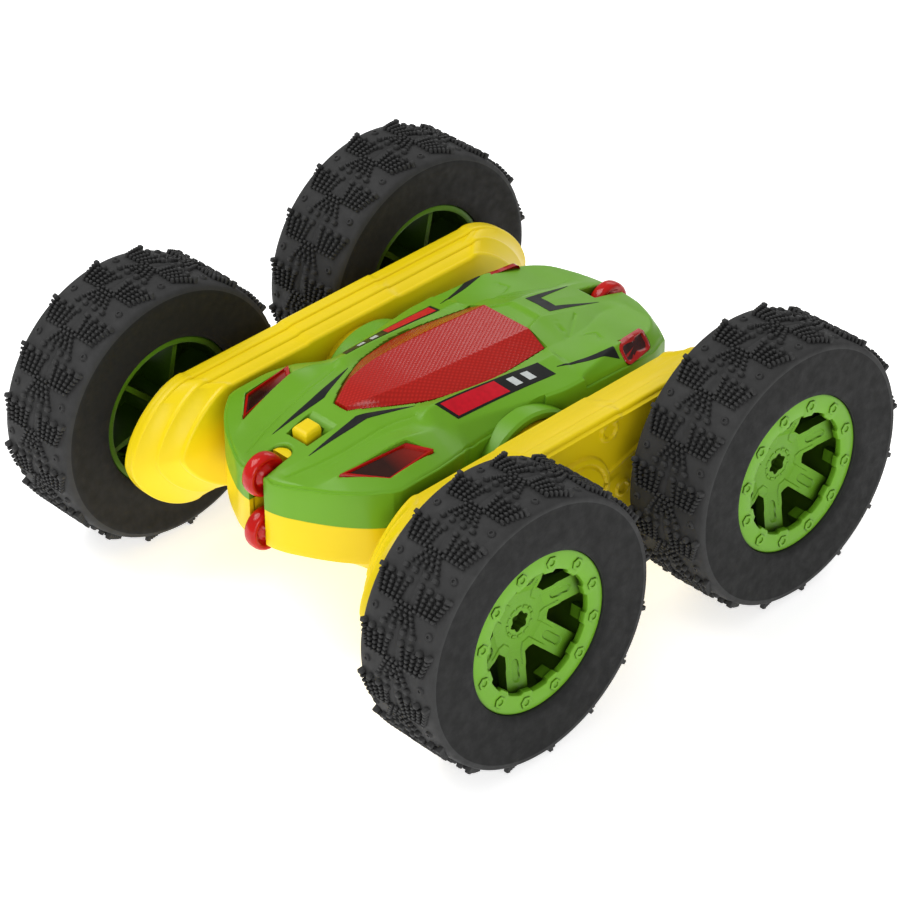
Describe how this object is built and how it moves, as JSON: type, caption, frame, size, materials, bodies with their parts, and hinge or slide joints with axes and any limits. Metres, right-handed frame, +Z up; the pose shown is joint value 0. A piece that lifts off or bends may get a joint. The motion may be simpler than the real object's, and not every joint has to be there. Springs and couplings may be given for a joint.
{
  "type": "rc stunt car",
  "caption": "Small radio-controlled stunt car whose body hangs between two swinging arms with a geared wheel at each end",
  "frame": {"origin": "on the ground under the middle of the car, midway between the axles", "axes": "+Z up, the nose faces -Y, +X is the right-hand side of the car seen from above with the nose at the bottom"},
  "size_m": [0.134, 0.1374, 0.0624],
  "materials": {
    "yellow_shell": "satin, smooth moulded",
    "green_shell": "satin, smooth moulded",
    "red_lens": "clear red, polished",
    "black_sticker": "printed film",
    "tyre_rubber": "matte",
    "circuit_board": "solder mask",
    "clear_lamp": "moulded",
    "battery_wrap": "shrink film",
    "motor_steel": "plated",
    "black_plastic": "moulded",
    "screw_steel": "plated",
    "brass": "machined",
    "gear_nylon": "moulded"
  },
  "bodies": {
    "body": {"lower_shell": "yellow_shell", "upper_shell": "green_shell", "canopy_lens": "red_lens", "left_headlight_lens": "red_lens", "right_headlight_lens": "red_lens", "left_tail_lens": "red_lens", "right_tail_lens": "red_lens", "side_plates": "black_sticker", "circuit_board": "circuit_board", "light_module": "clear_lamp", "battery_pack": "battery_wrap", "switch_housing": "motor_steel", "charge_socket": "black_plastic", "left_motor": "motor_steel", "right_motor": "motor_steel", "shell_screws": "screw_steel", "roller_pins": "screw_steel"},
    "switch_knob": {"switch_knob": "yellow_shell"},
    "nose_upper_roller": {"nose_upper_roller": "red_lens"},
    "nose_lower_roller": {"nose_lower_roller": "red_lens"},
    "tail_upper_roller": {"tail_upper_roller": "red_lens"},
    "tail_lower_roller": {"tail_lower_roller": "red_lens"},
    "left_arm": {"left_arm_inner_shell": "yellow_shell", "left_arm_outer_shell": "yellow_shell", "left_arm_screws": "screw_steel", "left_gear_pins": "screw_steel"},
    "left_drive_pinion": {"left_drive_pinion": "brass"},
    "left_front_wheel": {"left_front_wheel_gear": "gear_nylon", "left_front_axle": "screw_steel", "left_front_rim": "green_shell", "left_front_tyre": "tyre_rubber"},
    "left_rear_wheel": {"left_rear_wheel_gear": "gear_nylon", "left_rear_axle": "screw_steel", "left_rear_rim": "green_shell", "left_rear_tyre": "tyre_rubber"},
    "left_front_step_gear": {"left_front_step_gear": "gear_nylon"},
    "left_front_idler_gear": {"left_front_idler_gear": "gear_nylon"},
    "left_rear_step_gear": {"left_rear_step_gear": "gear_nylon"},
    "left_rear_idler_gear": {"left_rear_idler_gear": "gear_nylon"},
    "right_arm": {"right_arm_inner_shell": "yellow_shell", "right_arm_outer_shell": "yellow_shell", "right_arm_screws": "screw_steel", "right_gear_pins": "screw_steel"},
    "right_drive_pinion": {"right_drive_pinion": "brass"},
    "right_front_wheel": {"right_front_wheel_gear": "gear_nylon", "right_front_axle": "screw_steel", "right_front_rim": "green_shell", "right_front_tyre": "tyre_rubber"},
    "right_rear_wheel": {"right_rear_wheel_gear": "gear_nylon", "right_rear_axle": "screw_steel", "right_rear_rim": "green_shell", "right_rear_tyre": "tyre_rubber"},
    "right_front_step_gear": {"right_front_step_gear": "gear_nylon"},
    "right_front_idler_gear": {"right_front_idler_gear": "gear_nylon"},
    "right_rear_step_gear": {"right_rear_step_gear": "gear_nylon"},
    "right_rear_idler_gear": {"right_rear_idler_gear": "gear_nylon"}
  },
  "joints": [
    {"name": "switch_slide", "type": "slide", "parent": "body", "child": "switch_knob", "axis": [0, 0.9991, -0.0419], "range_m": [0, 0.0024]},
    {"name": "nose_upper_roller_spin", "type": "hinge", "parent": "body", "child": "nose_upper_roller", "pos_m": [0, -0.05099, 0.04435], "axis": [1, 0, 0], "continuous": true},
    {"name": "nose_lower_roller_spin", "type": "hinge", "parent": "body", "child": "nose_lower_roller", "pos_m": [0, -0.05155, 0.03116], "axis": [1, 0, 0], "continuous": true},
    {"name": "tail_upper_roller_spin", "type": "hinge", "parent": "body", "child": "tail_upper_roller", "pos_m": [0, 0.04841, 0.03998], "axis": [1, 0, 0], "continuous": true},
    {"name": "tail_lower_roller_spin", "type": "hinge", "parent": "body", "child": "tail_lower_roller", "pos_m": [0, 0.04787, 0.02699], "axis": [1, 0, 0], "continuous": true},
    {"name": "left_arm_swing", "type": "hinge", "parent": "body", "child": "left_arm", "pos_m": [0, 0, 0.0312], "axis": [1, 0, 0], "continuous": true},
    {"name": "left_front_wheel_spin", "type": "hinge", "parent": "left_arm", "child": "left_front_wheel", "pos_m": [0, -0.0375, 0.0312], "axis": [1, 0, 0], "continuous": true},
    {"name": "left_rear_wheel_spin", "type": "hinge", "parent": "left_arm", "child": "left_rear_wheel", "pos_m": [0, 0.0375, 0.0312], "axis": [1, 0, 0], "continuous": true},
    {"name": "left_pinion_spin", "type": "hinge", "parent": "left_arm", "child": "left_drive_pinion", "pos_m": [0, 0, 0.0312], "axis": [1, 0, 0], "continuous": true},
    {"name": "left_front_step_gear_spin", "type": "hinge", "parent": "left_arm", "child": "left_front_step_gear", "pos_m": [0, -0.0125, 0.0312], "axis": [1, 0, 0], "continuous": true},
    {"name": "left_front_idler_gear_spin", "type": "hinge", "parent": "left_arm", "child": "left_front_idler_gear", "pos_m": [0, -0.023, 0.0312], "axis": [1, 0, 0], "continuous": true},
    {"name": "left_rear_step_gear_spin", "type": "hinge", "parent": "left_arm", "child": "left_rear_step_gear", "pos_m": [0, 0.0125, 0.0312], "axis": [1, 0, 0], "continuous": true},
    {"name": "left_rear_idler_gear_spin", "type": "hinge", "parent": "left_arm", "child": "left_rear_idler_gear", "pos_m": [0, 0.023, 0.0312], "axis": [1, 0, 0], "continuous": true},
    {"name": "right_arm_swing", "type": "hinge", "parent": "body", "child": "right_arm", "pos_m": [0, 0, 0.0312], "axis": [1, 0, 0], "continuous": true},
    {"name": "right_front_wheel_spin", "type": "hinge", "parent": "right_arm", "child": "right_front_wheel", "pos_m": [0, -0.0375, 0.0312], "axis": [1, 0, 0], "continuous": true},
    {"name": "right_rear_wheel_spin", "type": "hinge", "parent": "right_arm", "child": "right_rear_wheel", "pos_m": [0, 0.0375, 0.0312], "axis": [1, 0, 0], "continuous": true},
    {"name": "right_pinion_spin", "type": "hinge", "parent": "right_arm", "child": "right_drive_pinion", "pos_m": [0, 0, 0.0312], "axis": [1, 0, 0], "continuous": true},
    {"name": "right_front_step_gear_spin", "type": "hinge", "parent": "right_arm", "child": "right_front_step_gear", "pos_m": [0, -0.0125, 0.0312], "axis": [1, 0, 0], "continuous": true},
    {"name": "right_front_idler_gear_spin", "type": "hinge", "parent": "right_arm", "child": "right_front_idler_gear", "pos_m": [0, -0.023, 0.0312], "axis": [1, 0, 0], "continuous": true},
    {"name": "right_rear_step_gear_spin", "type": "hinge", "parent": "right_arm", "child": "right_rear_step_gear", "pos_m": [0, 0.0125, 0.0312], "axis": [1, 0, 0], "continuous": true},
    {"name": "right_rear_idler_gear_spin", "type": "hinge", "parent": "right_arm", "child": "right_rear_idler_gear", "pos_m": [0, 0.023, 0.0312], "axis": [1, 0, 0], "continuous": true}
  ],
  "couplings": [
    {"joint": "left_rear_wheel_spin", "follows": "left_front_wheel_spin", "ratio": 1},
    {"joint": "left_pinion_spin", "follows": "left_front_wheel_spin", "ratio": -8.5714},
    {"joint": "left_front_step_gear_spin", "follows": "left_front_wheel_spin", "ratio": 2.1429},
    {"joint": "left_front_idler_gear_spin", "follows": "left_front_wheel_spin", "ratio": -1.0714},
    {"joint": "left_rear_step_gear_spin", "follows": "left_front_wheel_spin", "ratio": 2.1429},
    {"joint": "left_rear_idler_gear_spin", "follows": "left_front_wheel_spin", "ratio": -1.0714},
    {"joint": "right_rear_wheel_spin", "follows": "right_front_wheel_spin", "ratio": 1},
    {"joint": "right_pinion_spin", "follows": "right_front_wheel_spin", "ratio": -8.5714},
    {"joint": "right_front_step_gear_spin", "follows": "right_front_wheel_spin", "ratio": 2.1429},
    {"joint": "right_front_idler_gear_spin", "follows": "right_front_wheel_spin", "ratio": -1.0714},
    {"joint": "right_rear_step_gear_spin", "follows": "right_front_wheel_spin", "ratio": 2.1429},
    {"joint": "right_rear_idler_gear_spin", "follows": "right_front_wheel_spin", "ratio": -1.0714}
  ]
}
